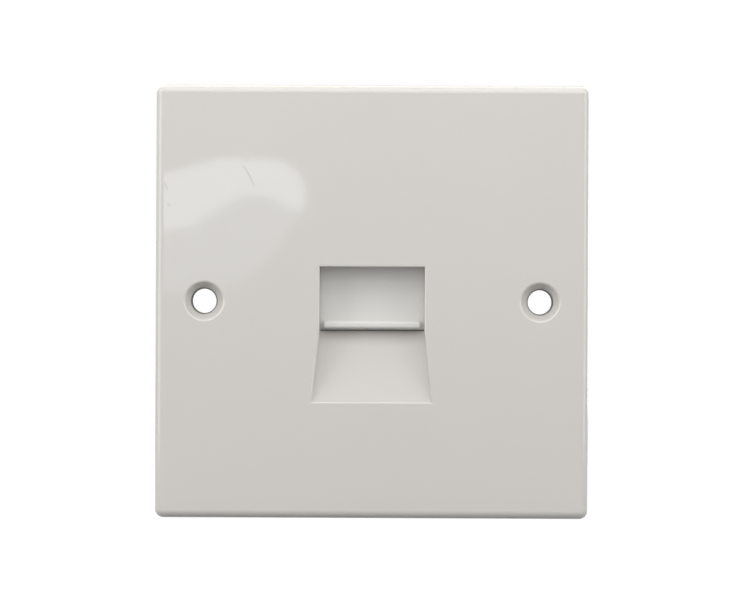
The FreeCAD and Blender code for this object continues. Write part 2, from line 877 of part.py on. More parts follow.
def circuit_board():
    """Board with drilled holes for screws and pegs, punched ones for wires and terminals."""
    body = new_body("circuit_board")
    across, up = "board_width / 2", "board_height / 2"
    pad(
        body, "board", "XZ", "board_stand", "board_back_y",
        (rectangle, f"-{across}", across, f"-{up}", up),
    )
    dress(
        body, "Fillet", "corners", "board_corner", lambda edge: runs_along(edge, ALONG_Y)
    )
    x, z = "pillar_spread_x / 2", "pillar_spread_z / 2"
    screw = "screw_hole + 2 * board_hole_gap"
    peg = "locating_peg + 2 * board_hole_gap"
    pocket(
        body, "fixing_holes", "XZ", "board_stand", "board_back_y",
        (circle, f"-{x}", z, screw),
        (circle, x, f"-{z}", screw),
        (circle, f"-{x}", f"-{z}", peg),
        (circle, x, z, peg),
    )
    spread = "jack_peg_spread / 2"
    pocket(
        body, "jack_holes", "XZ", "board_stand", "board_back_y",
        (circle, f"-{spread}", "-jack_peg_drop", "jack_peg + 2 * board_hole_gap"),
        (circle, spread, "-jack_peg_drop", "jack_peg + 2 * board_hole_gap"),
    )
    hole = pocket(
        body, "wire_hole", "XZ", "board_stand", "board_back_y",
        punched("comb_x - comb_half", "wire_z", "contact_wire", "contact_wire"),
    )
    repeat(body, "wire_holes", hole, "X_Axis", "2 * comb_half", "contact_count")
    pocket(
        body, "terminal_holes", "XZ", "board_stand", "board_back_y",
        *(punched(x, z, "blade_thickness", "blade_pin") for x, z in terminal_places()),
    )


def terminal_block(name, x, z):
    """Block with a tower for each wire: a slot for the wire and a pocket for its fork."""
    body = new_body(name)
    half = "block_width / 2"
    pad(
        body, "block", "XZ", "board_back_y", "block_top_y",
        (rectangle, f"-{half}", half, "-block_half", "block_half"),
    )
    top_y = number("block_top_y")
    dress(
        body, "Chamfer", "top_edges", "block_chamfer",
        lambda edge: spans(edge, y=(top_y, top_y)),
    )
    low = "-terminal_pitch * (terminal_rows - 1) / 2"
    length = "terminal_pitch * (terminal_rows - 1)"
    slot = pocket(
        body, "wire_slot", "XZ", "block_top_y - wire_slot_depth", "block_top_y",
        (rectangle, f"-{half}", half, f"{low} - wire_slot / 2", f"{low} + wire_slot / 2"),
    )
    repeat(body, "wire_slots", slot, "Z_Axis", length, "terminal_rows")
    wide = "blade_thickness / 2 + blade_gap"
    tall = "blade_width / 2 + blade_gap"
    room = pocket(
        body, "fork_pocket", "XZ", "board_back_y", "block_top_y",
        (rectangle, f"-({wide})", wide, f"{low} - ({tall})", f"{low} + {tall}"),
    )
    repeat(body, "fork_pockets", room, "Z_Axis", length, "terminal_rows")
    middle = f"{low} + terminal_pitch / 2"
    divider = pocket(
        body, "divider", "XZ", "block_top_y - divider_depth", "block_top_y",
        (
            rectangle, f"-{half}", half,
            f"{middle} - divider_slot / 2", f"{middle} + divider_slot / 2",
        ),
    )
    repeat(
        body, "dividers", divider, "Z_Axis",
        "terminal_pitch * (terminal_rows - 2)", "terminal_rows - 1",
    )
    place(body, x=x, z=z)


def idc_terminal(index, x, z):
    """Forked blade that bites through the wire's covering, with a pin in the board."""
    body = new_body(f"idc_terminal_{index}")
    half, slot = "blade_width / 2", "fork_slot / 2"
    mouth, pin = "fork_mouth / 2", "blade_pin / 2"
    foot, top = "board_back_y", "board_back_y + blade_height"
    right = (
        ("board_stand - blade_pin_tail", pin),
        (foot, pin),
        (foot, half),
        (top, half),
        (top, mouth),
        (f"{top} - fork_mouth_depth", slot),
        (f"{top} - fork_depth", slot),
    )
    left = tuple((y, f"-{across}") for y, across in reversed(right))
    pad(
        body, "fork", "YZ", "-blade_thickness / 2", "blade_thickness / 2",
        (polygon, right + left),
    )
    place(body, x=x, z=z)


def board_screw(index, x, z):
    """Self-tapping screw with a bevelled pan head and a cross recess."""
    body = new_body(f"board_screw_{index}")
    sketch = new_sketch(body, "turned", "YZ", "0")
    radius, head = "screw_diameter / 2", "screw_head / 2"
    end = "board_back_y - screw_length"
    top = "board_back_y + screw_head_height"
    polygon(
        sketch,
        (
            (end, "0"),
            (f"{end} + screw_tip", radius),
            ("board_back_y", radius),
            ("board_back_y", head),
            (top, head),
            (top, "0"),
        ),
    )
    turned = body.newObject("PartDesign::Revolution", "turned")
    turned.Profile = sketch
    turned.ReferenceAxis = (origin_item(body, "Y_Axis"), [""])
    turned.Angle = 360
    doc.recompute()
    top_y = number(top)
    dress(
        body, "Chamfer", "pan_edge", "screw_head_bevel",
        lambda edge: edge.Curve.TypeId == "Part::GeomCircle"
        and near(edge.Curve.Center.y, top_y),
    )
    wide, long = "cross_width / 2", "cross_length / 2"
    quarter = (
        (long, f"-{wide}"), (long, wide), (wide, wide),
        (wide, long), (f"-{wide}", long), (f"-{wide}", wide),
        (f"-{long}", wide), (f"-{long}", f"-{wide}"), (f"-{wide}", f"-{wide}"),
        (f"-{wide}", f"-{long}"), (wide, f"-{long}"), (wide, f"-{wide}"),
    )
    pocket(
        body, "cross", "XZ", f"{top} - cross_depth", top,
        (polygon, quarter),
    )
    place(body, x=x, z=z)


# Build, check and write every piece

def build():
    faceplate()
    shutter()
    shutter_spring()
    jack_housing()
    contact_carrier()
    for index in range(SIZES["contact_count"]):
        contact(index)
    circuit_board()
    for name, (x, z) in zip(("left", "right"), BLOCK_PLACES):
        terminal_block(f"terminal_block_{name}", x, z)
    for index, (x, z) in enumerate(terminal_places(), start=1):
        idc_terminal(index, x, z)
    board_screw(1, "-pillar_spread_x / 2", "pillar_spread_z / 2")
    board_screw(2, "pillar_spread_x / 2", "-pillar_spread_z / 2")
    doc.recompute()


def pieces():
    """The bodies and free features that are written, one file each."""
    for item in doc.Objects:
        if item.TypeId == "PartDesign::Body":
            yield item
        elif item.TypeId == "Part::Feature" and item.getParentGeoFeatureGroup() is None:
            yield item


def write():
    for item in doc.Objects:
        if "Invalid" in item.State or "Error" in item.State:
            raise RuntimeError(f"{item.Label} failed: {item.State}")
    os.makedirs("parts", exist_ok=True)
    for piece in pieces():
        shape = piece.Shape
        if shape.isNull() or not shape.isValid() or len(shape.Solids) != 1:
            raise RuntimeError(f"{piece.Label} is not one valid solid")
        shape.exportStep(f"parts/{piece.Label}.step")
        box = shape.BoundBox
        print(
            f"{piece.Label:22s} {shape.Volume:9.2f} mm3  x {box.XMin:7.2f} {box.XMax:7.2f}"
            f"  y {box.YMin:7.2f} {box.YMax:7.2f}  z {box.ZMin:7.2f} {box.ZMax:7.2f}"
        )


build()
write()
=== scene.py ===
import math
import random

import bmesh
import bpy
from bpy.props import FloatProperty, FloatVectorProperty, IntProperty, PointerProperty
from bpy.types import Operator, Panel, PropertyGroup
from mathutils import Matrix, Vector


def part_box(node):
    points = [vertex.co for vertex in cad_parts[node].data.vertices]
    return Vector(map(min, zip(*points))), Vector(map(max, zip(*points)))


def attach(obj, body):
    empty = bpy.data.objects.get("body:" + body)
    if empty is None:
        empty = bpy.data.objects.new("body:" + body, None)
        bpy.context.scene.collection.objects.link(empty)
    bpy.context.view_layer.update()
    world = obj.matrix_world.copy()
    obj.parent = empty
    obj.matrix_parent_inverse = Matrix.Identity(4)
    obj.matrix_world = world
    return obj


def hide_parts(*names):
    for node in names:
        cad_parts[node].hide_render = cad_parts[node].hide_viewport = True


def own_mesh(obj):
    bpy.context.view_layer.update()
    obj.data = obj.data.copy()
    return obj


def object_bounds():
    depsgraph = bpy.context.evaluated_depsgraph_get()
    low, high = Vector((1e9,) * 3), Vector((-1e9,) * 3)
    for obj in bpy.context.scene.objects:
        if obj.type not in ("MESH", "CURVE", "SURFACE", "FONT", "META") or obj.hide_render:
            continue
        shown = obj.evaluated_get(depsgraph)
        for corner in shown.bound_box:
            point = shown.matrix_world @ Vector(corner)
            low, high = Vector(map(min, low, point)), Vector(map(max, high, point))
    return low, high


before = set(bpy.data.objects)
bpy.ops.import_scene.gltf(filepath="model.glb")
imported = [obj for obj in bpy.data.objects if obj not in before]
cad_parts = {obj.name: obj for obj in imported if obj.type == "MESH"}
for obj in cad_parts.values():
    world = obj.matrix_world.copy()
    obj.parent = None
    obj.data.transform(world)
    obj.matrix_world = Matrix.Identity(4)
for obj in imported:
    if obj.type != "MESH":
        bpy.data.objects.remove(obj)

bl_info = {
    "name": "Telephone wall socket",
    "version": (1, 0, 0),
    "blender": (4, 5, 0),
    "location": "View3D > Sidebar > Wall socket",
    "description": "Finishes, fine parts, light and camera for a telephone wall socket",
    "category": "Object",
}

# The row's frame, in metres: +X right from the front, +Z up, +Y into the wall, origin on the wall
MM = 0.001
CAD_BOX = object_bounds()
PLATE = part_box("faceplate")
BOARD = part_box("circuit_board")
CONTACTS = tuple(f"contact_{number}" for number in range(1, 7))
TERMINALS = tuple(f"idc_terminal_{number}" for number in range(1, 7))
SCREWS = ("board_screw_1", "board_screw_2")
BLOCKS = ("terminal_block_left", "terminal_block_right")

# The fixing holes stand at plus and minus this x, at z = 0
BORE_X = 26.25 * MM
BORE_RADIUS = 2.02 * MM
# The box that holds the window and the sloping recess below it
RECESS_HALF_WIDTH = 10.4 * MM
RECESS_HEAD = 5.8 * MM
RECESS_FOOT = -16.0 * MM
RECESS_BACK = -1.6 * MM
# The contact wires: the height up to which they are gilded, and half their thickness
GILDING_TOP = 4.4 * MM
WIRE_RADIUS = 0.225 * MM

# Marks on the face, in millimetres: where they start and end in x and z, and half their width
SCRATCH = ((-20.2, 21.1), (-19.4, 19.9), (-18.9, 19.0), (-18.6, 18.1))
MARKS = (
    *((start, end, 0.14) for start, end in zip(SCRATCH, SCRATCH[1:])),
    ((-19.95, 22.0), (-19.93, 22.0), 0.16),
    ((-19.50, 22.0), (-19.48, 22.0), 0.16),
    ((-32.5, 18.4), (-32.1, 17.4), 0.18),
    ((-31.9, 15.0), (-31.8, 14.9), 0.30),
)

# Lamps: name, property that holds the power, place and size in metres
LAMPS = (
    ("overhead_lamp", "overhead_lamp", (0.0, -0.15, 0.19), (0.30, 0.12)),
    ("high_lamp", "high_lamp", (0.0, -0.60, 0.31), (1.00, 0.12)),
    ("top_lamp", "top_lamp", (0.0, 0.05, 0.26), (0.50, 0.20)),
    ("front_lamp", "front_lamp", (0.0, -1.0, 0.25), (1.40, 0.25)),
    ("left_lamp", "left_lamp", (-0.42, -0.22, 0.14), (0.30, 0.40)),
    ("right_lamp", "right_lamp", (0.42, -0.22, 0.14), (0.30, 0.40)),
    ("rear_left_lamp", "rear_lamp", (-0.22, 0.30, 0.22), (0.30, 0.30)),
    ("rear_right_lamp", "rear_lamp", (0.26, 0.30, 0.12), (0.30, 0.30)),
)

# The floor takes the lamps' light as a mid grey and adds a pale glow that only a camera sees,
# a little greyer near the socket than far from it
FLOOR_HALF = 2.0
FLOOR_COLOUR = (0.29, 0.29, 0.29, 1.0)
FLOOR_NEAR = (0.88, 0.88, 0.88, 1.0)
FLOOR_NEAR_RADIUS = 0.10
FLOOR_FAR_RADIUS = 0.45
WHITE = (1.0, 1.0, 1.0, 1.0)

# Cards in front of the plate that show in its gloss: name, distance from the plate in metres,
# light, and outline in x and z, in millimetres where the camera sees it on the face
REFLECTORS = (
    (
        "reflector_band", 0.050, (3.60, 3.90, 3.90, 1.0),
        (
            (-37, 19.5), (-32, 20.0), (-23.5, 22.4), (-14.0, 22.0), (-11.2, 19.6),
            (-10.4, 17.0), (-10.6, 14.6), (-11.8, 13.8), (-14.4, 15.2), (-17.0, 16.6),
            (-20.0, 16.4), (-24.5, 14.2), (-28.0, 11.6), (-33.0, 11.0), (-37, 11.0),
        ),
    ),
    (
        "reflector_wash", 0.051, (1.80, 1.90, 1.90, 1.0),
        (
            (-37, 19.0), (-24, 21.5), (-13.0, 20.0), (-11.2, 14.0), (-14.4, 8.4),
            (-18.6, 4.2), (-24.0, 1.5), (-37, 1.0),
        ),
    ),
)
# Both outlines are scaled to a card at this distance
REFLECTOR_REACH = 0.05


def middle(node):
    """The middle of a CAD node's box."""
    low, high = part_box(node)
    return (low + high) / 2


# What a user would change

def colour(name, description, value):
    """A colour property in linear light."""
    return FloatVectorProperty(
        name=name, description=description, default=(*value, 1.0),
        size=4, subtype="COLOR", min=0.0, max=1.0,
    )


def length(name, description, value):
    """A length property in metres."""
    return FloatProperty(
        name=name, description=description, default=value, min=0.0, unit="LENGTH"
    )


def power(name, description, value):
    """A lamp's power in watts."""
    return FloatProperty(name=name, description=description, default=value, unit="POWER")


class SocketColours(PropertyGroup):
    """Colours of the socket's materials."""

    plate: colour("Plate", "Glossy off-white of the faceplate", (0.607, 0.587, 0.558))
    shutter: colour("Shutter", "Off-white of the shutter", (0.665, 0.657, 0.632))
    jack: colour("Jack", "Off-white of the jack housing", (0.560, 0.555, 0.530))
    carrier: colour("Carrier", "Dark insert that holds the contacts", (0.045, 0.045, 0.048))
    block: colour("Blocks", "Pale nylon of the terminal blocks", (0.640, 0.630, 0.590))
    gold: colour("Contact faces", "Gilded part of the contact wires", (0.900, 0.620, 0.260))
    tin: colour("Tin", "Tinned wire, blades and solder", (0.620, 0.615, 0.600))
    zinc: colour("Zinc", "Zinc-plated screws", (0.580, 0.600, 0.620))
    spring: colour("Spring", "Bright spring wire", (0.520, 0.520, 0.530))
    mask: colour("Board varnish", "Green varnish on the board", (0.018, 0.120, 0.045))
    laminate: colour("Board edge", "Brown laminate at the board's edges", (0.330, 0.200, 0.090))
    print: colour("Board print", "Printed numbers on the board", (0.780, 0.780, 0.740))


class SocketSizes(PropertyGroup):
    """Sizes of the fine parts that Blender makes."""

    spring_wire: length("Spring wire", "Diameter of the spring's wire", 0.35 * MM)
    spring_turns: IntProperty(
        name="Spring turns", description="Turns of the spring, ends included", default=10, min=4
    )
    track_width: length("Track width", "Width of a track on the board", 0.9 * MM)
    track_height: length("Track height", "Height of a track on the board", 0.04 * MM)
    solder_width: length("Solder width", "Foot of a solder joint", 1.3 * MM)
    number_height: length("Number height", "Height of a printed number", 1.7 * MM)


class SocketStage(PropertyGroup):
    """Camera, lamps and floor."""

    distance: length("Camera distance", "From the camera to the plate's front", 1.25)
    field: length("Field width", "Width that the picture takes in at the plate's front", 0.11735)
    aim_x: length("Aim across", "How far the camera stands to the right", 0.53 * MM)
    aim_z: length("Aim up", "How far the camera stands above the middle", 0.17 * MM)
    roll: FloatProperty(
        name="Roll", description="Turn of the camera about its line of sight",
        default=math.radians(-0.27), subtype="ANGLE",
    )
    overhead_lamp: power("Overhead lamp", "Close above the plate's front", 0.25)
    high_lamp: power("High lamp", "Between the overhead and front lamps", 0.84)
    top_lamp: power("Top lamp", "Above the plate's edge", 0.55)
    front_lamp: power("Front lamp", "Above the camera", 1.55)
    left_lamp: power("Left lamp", "Beside the plate's front", 1.36)
    right_lamp: power("Right lamp", "Beside the plate's front", 1.13)
    rear_lamp: power("Rear lamps", "Each of the lamps behind the plate", 0.60)
    room_light: FloatProperty(
        name="Room light", description="Light from all round, 1 is white", default=0.02
    )


# Shader networks

class Signal:
    """A shader socket that takes part in Python sums."""

    def __init__(self, network, socket):
        self.network = network
        self.socket = socket

    def combine(self, operation, *values):
        """One maths node."""
        return self.network.node(
            "ShaderNodeMath", {"operation": operation}, dict(enumerate(values))
        )

    def __add__(self, other):
        return self.combine("ADD", self, other)

    def __sub__(self, other):
        return self.combine("SUBTRACT", self, other)

    def __rsub__(self, other):
        return self.combine("SUBTRACT", other, self)

    def __mul__(self, other):
        return self.combine("MULTIPLY", self, other)

    def __truediv__(self, other):
        return self.combine("DIVIDE", self, other)

    def __pow__(self, other):
        return self.combine("POWER", self, other)

    def __gt__(self, other):
        return self.combine("GREATER_THAN", self, other)

    def __lt__(self, other):
        return self.combine("LESS_THAN", self, other)

    def __abs__(self):
        return self.combine("ABSOLUTE", self)

    __radd__ = __add__

    def most(self, other):
        return self.combine("MAXIMUM", self, other)

    def least(self, other):
        return self.combine("MINIMUM", self, other)

    def limited(self):
        """Kept between 0 and 1."""
        return self.most(0.0).least(1.0)


class Network:
    """The nodes of one material or world."""

    def __init__(self, owner):
        owner.use_nodes = True
        self.owner = owner
        self.tree = owner.node_tree
        self.tree.nodes.clear()

    def node(self, kind, settings=None, inputs=None, output=0):
        """Adds a node: its settings first, then its inputs. Returns one output."""
        node = self.tree.nodes.new(kind)
        for name, value in (settings or {}).items():
            setattr(node, name, value)
        for name, value in (inputs or {}).items():
            if isinstance(value, Signal):
                self.tree.links.new(value.socket, node.inputs[name])
            else:
                node.inputs[name].default_value = value
        return Signal(self, node.outputs[output]) if node.outputs else None

    def place(self):
        """The point of the surface in the object's own frame."""
        return self.node("ShaderNodeTexCoord", output="Object")

    def axes(self):
        """X, Y and Z of the point in metres."""
        node = self.node("ShaderNodeSeparateXYZ", inputs={"Vector": self.place()}).socket.node
        return tuple(Signal(self, socket) for socket in node.outputs)

    def stretched(self, x, y, z):
        """The point with each axis scaled."""
        return self.node(
            "ShaderNodeVectorMath", {"operation": "MULTIPLY"}, {0: self.place(), 1: (x, y, z)}
        )

    def noise(self, grain, detail=2.0, point=None):
        """Noise from 0 to 1 whose features are about one grain wide."""
        return self.node(
            "ShaderNodeTexNoise",
            inputs={"Vector": point or self.place(), "Scale": 1.0 / grain, "Detail": detail},
        )

    def ramp(self, value, low, high):
        """0 below low, 1 above high, smooth between."""
        return self.node(
            "ShaderNodeMapRange", {"interpolation_type": "SMOOTHSTEP"},
            {"Value": value, "From Min": low, "From Max": high},
        )

    def mixed(self, factor, first, second):
        """A colour between two colours."""
        return self.node(
            "ShaderNodeMix", {"data_type": "RGBA"}, {0: factor, 6: first, 7: second}, output=2
        )

    def bumped(self, height, distance):
        """The normal of a surface with this height."""
        return self.node(
            "ShaderNodeBump", inputs={"Height": height, "Distance": distance, "Strength": 1.0}
        )

    def finish(self, **sockets):
        """Ends the material in one Principled shader."""
        names = {name.replace("_", " ").title(): value for name, value in sockets.items()}
        shader = self.node(
            "ShaderNodeBsdfPrincipled",
            inputs={("IOR" if name == "Ior" else name): value for name, value in names.items()},
        )
        self.node("ShaderNodeOutputMaterial", inputs={"Surface": shader})
        return self.owner


def new_network(name):
    return Network(bpy.data.materials.new(name))


def shade(value, amount):
    """The same colour, lighter or darker."""
    return (*(channel * amount for channel in tuple(value)[:3]), 1.0)


def dress(nodes, material):
    """Gives CAD nodes a material."""
    for node in nodes:
        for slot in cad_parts[node].material_slots:
            slot.material = material


# Mesh helpers

def new_piece(name, mesh, body, material, smooth=True):
    """An object that rides on a CAD body."""
    piece = bpy.data.objects.new(name, mesh)
    bpy.context.scene.collection.objects.link(piece)
    mesh.materials.append(material)
    mesh.shade_smooth() if smooth else mesh.shade_flat()
    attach(piece, body)
    return piece


def mesh_from(name, build):
    """A mesh that a function fills."""
    shell = bmesh.new()
    build(shell)
    bmesh.ops.recalc_face_normals(shell, faces=shell.faces)
    mesh = bpy.data.meshes.new(name)
    shell.to_mesh(mesh)
    shell.free()
    return mesh


def skin(shell, rings):
    """Quads between rings of points, with both ends closed."""
    rows = [[shell.verts.new(point) for point in ring] for ring in rings]
    for row, following in zip(rows, rows[1:]):
        for index, vertex in enumerate(row):
            after = (index + 1) % len(row)
            shell.faces.new((vertex, row[after], following[after], following[index]))
    shell.faces.new(rows[0])
    shell.faces.new(rows[-1])


def lathe(shell, centre, axis, profile, steps):
    """A turned form: profile holds (height along the axis, radius)."""
    turn = axis.to_track_quat("Z", "Y").to_matrix()
    rings = []
    for height, radius in profile:
        ring = []
        for step in range(steps):
            angle = 2 * math.pi * step / steps
            spoke = Vector((math.cos(angle) * radius, math.sin(angle) * radius, height))
            ring.append(centre + turn @ spoke)
        rings.append(ring)
    skin(shell, rings)


# Materials

def line_distance(x, z, start, end):
    """Distance of the point from a stretch of line on the plate's face."""
    run = (end[0] - start[0], end[1] - start[1])
    square = run[0] ** 2 + run[1] ** 2
    across, up = x - start[0], z - start[1]
    share = ((across * run[0] + up * run[1]) / square).limited()
    return ((across - share * run[0]) ** 2.0 + (up - share * run[1]) ** 2.0) ** 0.5


def plate_plastic(colours):
    """Glossy moulded face with a few handling marks and painted shade in the fixing bores, satin
    behind.
    """
    net = new_network("plate_plastic")
    x, y, z = net.axes()
    front = PLATE[0].y
    recess = (
        (abs(x) < RECESS_HALF_WIDTH) * (z < RECESS_HEAD) * (z > RECESS_FOOT) * (y < RECESS_BACK)
    )
    behind = net.ramp(y, front + 2.3 * MM, front + 2.4 * MM) * (1.0 - recess)
    face = 1.0 - net.ramp(y, front + 0.05 * MM, front + 0.15 * MM)

    marked = None
    for start, end, half in MARKS:
        away = line_distance(
            x, z, [value * MM for value in start], [value * MM for value in end]
        )
        mark = 1.0 - net.ramp(away, 0.25 * half * MM, half * MM)
        marked = mark if marked is None else marked.most(mark)
    marked = marked * face
    # Painted shade: the walls of the fixing bores, behind the face, are darkened in colour where
    # shade falls in the holes
    from_axis = ((abs(x) - BORE_X) ** 2.0 + z ** 2.0) ** 0.5
    painted_bore_shade = (1.0 - net.ramp(from_axis, BORE_RADIUS, BORE_RADIUS + 0.12 * MM)) * (1.0 - face)

    cloud = net.noise(22 * MM, detail=3.0)
    tone = net.mixed(cloud, shade(colours.plate, 0.985), shade(colours.plate, 1.015))
    specks = net.ramp(net.noise(0.5 * MM, detail=0.0), 0.80, 0.84)
    tone = net.mixed(specks * 0.05, tone, shade(colours.plate, 0.6))
    tone = net.mixed(marked * 0.30, tone, shade(colours.plate, 0.55))
    # Painted shade: inside the bores the plate colour is mixed down to a dark grey
    tone = net.mixed(painted_bore_shade, tone, shade(colours.plate, 0.30))

    hairlines = net.ramp(
        net.noise(0.35 * MM, point=net.stretched(1.0, 1.0, 0.06)), 0.62, 0.80
    )
    polish = 0.06 + net.noise(6 * MM) * 0.03 + hairlines * 0.02
    roughness = polish + (marked * 0.3 + behind * 0.34).most(painted_bore_shade * 0.5)
    ripple = net.noise(2.4 * MM, detail=1.0) * 0.35 + behind * net.noise(0.25 * MM) * 0.6
    return net.finish(
        base_color=tone, roughness=roughness, ior=1.50,
        normal=net.bumped(ripple - marked * 1.5, 0.006 * MM),
    )


def satin_plastic(name, tint, roughness=0.32, grain=0.18):
    """Plain moulded plastic with a fine grain and flow marks."""
    net = new_network(name)
    flow = net.noise(7 * MM, detail=3.0, point=net.stretched(1.0, 1.0, 0.4))
    tone = net.mixed(flow, shade(tint, 0.96), shade(tint, 1.03))
    fine = net.noise(grain * MM, detail=2.0)
    return net.finish(
        base_color=tone, roughness=roughness + fine * 0.10, ior=1.50,
        normal=net.bumped(fine, 0.006 * MM),
    )


def bright_metal(name, tint, roughness=0.24, drawn=(1.0, 1.0, 0.12)):
    """Plated metal with draw lines and a little tarnish."""
    net = new_network(name)
    lines = net.noise(0.09 * MM, detail=2.0, point=net.stretched(*drawn))
    dull = net.ramp(net.noise(1.3 * MM, detail=3.0), 0.50, 0.72)
    tone = net.mixed(dull, tint, shade(tint, 0.75))
    return net.finish(
        base_color=tone, metallic=1.0, roughness=roughness + lines * 0.10 + dull * 0.12,
        normal=net.bumped(lines, 0.003 * MM),
    )


def contact_metal(colours):
    """Tinned wire whose spring end is gilded."""
    net = new_network("contact_metal")
    _, _, z = net.axes()
    gilded = 1.0 - net.ramp(z, GILDING_TOP, GILDING_TOP + 0.5 * MM)
    lines = net.noise(0.06 * MM, detail=2.0, point=net.stretched(1.0, 0.1, 0.1))
    tone = net.mixed(gilded, colours.tin, colours.gold)
    return net.finish(
        base_color=tone, metallic=1.0, roughness=0.20 + lines * 0.12,
        normal=net.bumped(lines, 0.002 * MM),
    )


def board_laminate(colours):
    """Brown laminate with green varnish on both faces."""
    net = new_network("board_laminate")
    _, y, _ = net.axes()
    coat = 0.02 * MM
    varnished = (y > BOARD[1].y - coat).most(y < BOARD[0].y + coat)
    fibre = net.noise(0.5 * MM, detail=4.0, point=net.stretched(1.0, 3.0, 0.5))
    cut = net.mixed(fibre, shade(colours.laminate, 0.75), shade(colours.laminate, 1.25))
    weave = net.noise(0.8 * MM, detail=2.0)
    green = net.mixed(weave, shade(colours.mask, 0.85), shade(colours.mask, 1.15))
    return net.finish(
        base_color=net.mixed(varnished, cut, green), roughness=0.75 - varnished * 0.45,
        normal=net.bumped(weave, 0.008 * MM),
    )


# Operators

class SOCKET_OT_finish_mouldings(Operator):
    """Gives the plate, shutter, jack, carrier and terminal blocks their plastics"""

    bl_idname = "socket.finish_mouldings"
    bl_label = "Finish mouldings"

    def execute(self, context):
        colours = context.scene.socket_colours
        dress(["faceplate"], plate_plastic(colours))
        dress(["shutter"], satin_plastic("shutter_plastic", colours.shutter, 0.26, 0.3))
        dress(["jack_housing"], satin_plastic("jack_plastic", colours.jack))
        dress(["contact_carrier"], satin_plastic("carrier_plastic", colours.carrier, 0.42))
        dress(BLOCKS, satin_plastic("block_plastic", colours.block, 0.36, 0.25))
        return {"FINISHED"}


class SOCKET_OT_finish_metal(Operator):
    """Gives the contact wires, blades and screws their plating"""

    bl_idname = "socket.finish_metal"
    bl_label = "Finish metal parts"

    def execute(self, context):
        colours = context.scene.socket_colours
        dress(CONTACTS, contact_metal(colours))
        dress(TERMINALS, bright_metal("terminal_metal", colours.tin))
        dress(SCREWS, bright_metal("screw_zinc", colours.zinc, 0.30))
        return {"FINISHED"}


class SOCKET_OT_wind_spring(Operator):
    """Winds the return spring from round wire with closed, ground ends"""

    bl_idname = "socket.wind_spring"
    bl_label = "Wind the spring"

    def execute(self, context):
        sizes, colours = context.scene.socket_sizes, context.scene.socket_colours
        low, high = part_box("shutter_spring")
        centre = (low + high) / 2
        wire = sizes.spring_wire / 2
        radius = (high.x - low.x) / 2 - wire
        # The ends are ground flat, so the wire's middle starts less than its radius from them
        ground = 0.35 * wire
        first, last = low.z + ground, high.z - ground
        turns = sizes.spring_turns
        sides, steps_per_turn = 12, 36
        # At each end the coils touch for the first 0.9 turns and open over the next 0.4
        closed_turns, opening_turns, open_climb = 0.9, 0.4, 1.2
        closed_climb = 2.05 * wire * turns / (last - first)

        def rise(step):
            """The climb of one step, before all are scaled to the spring's length."""
            turn = (step + 0.5) / steps_per_turn
            from_end = min(turn, turns - turn)
            opened = min(max(from_end - closed_turns, 0.0) / opening_turns, 1.0)
            return closed_climb + opened * open_climb

        climbs = [rise(step) for step in range(turns * steps_per_turn)]
        scale = (last - first) / sum(climbs)
        heights = [first]
        for climb in climbs:
            heights.append(heights[-1] + climb * scale)

        rings = []
        for step, height in enumerate(heights):
            angle = 2 * math.pi * step / steps_per_turn
            outward = Vector((math.cos(angle), math.sin(angle), 0.0))
            core = Vector((centre.x, centre.y, height)) + outward * radius
            ring = []
            for side in range(sides):
                around = 2 * math.pi * side / sides
                point = core + outward * (math.cos(around) * wire)
                point.z = min(max(height + math.sin(around) * wire, low.z), high.z)
                ring.append(point)
            rings.append(ring)

        mesh = mesh_from("spring_wire", lambda shell: skin(shell, rings))
        steel = bright_metal("spring_steel", colours.spring, 0.18)
        piece = new_piece("return_spring", mesh, "socket", steel)
        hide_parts("shutter_spring")
        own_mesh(piece)
        return {"FINISHED"}


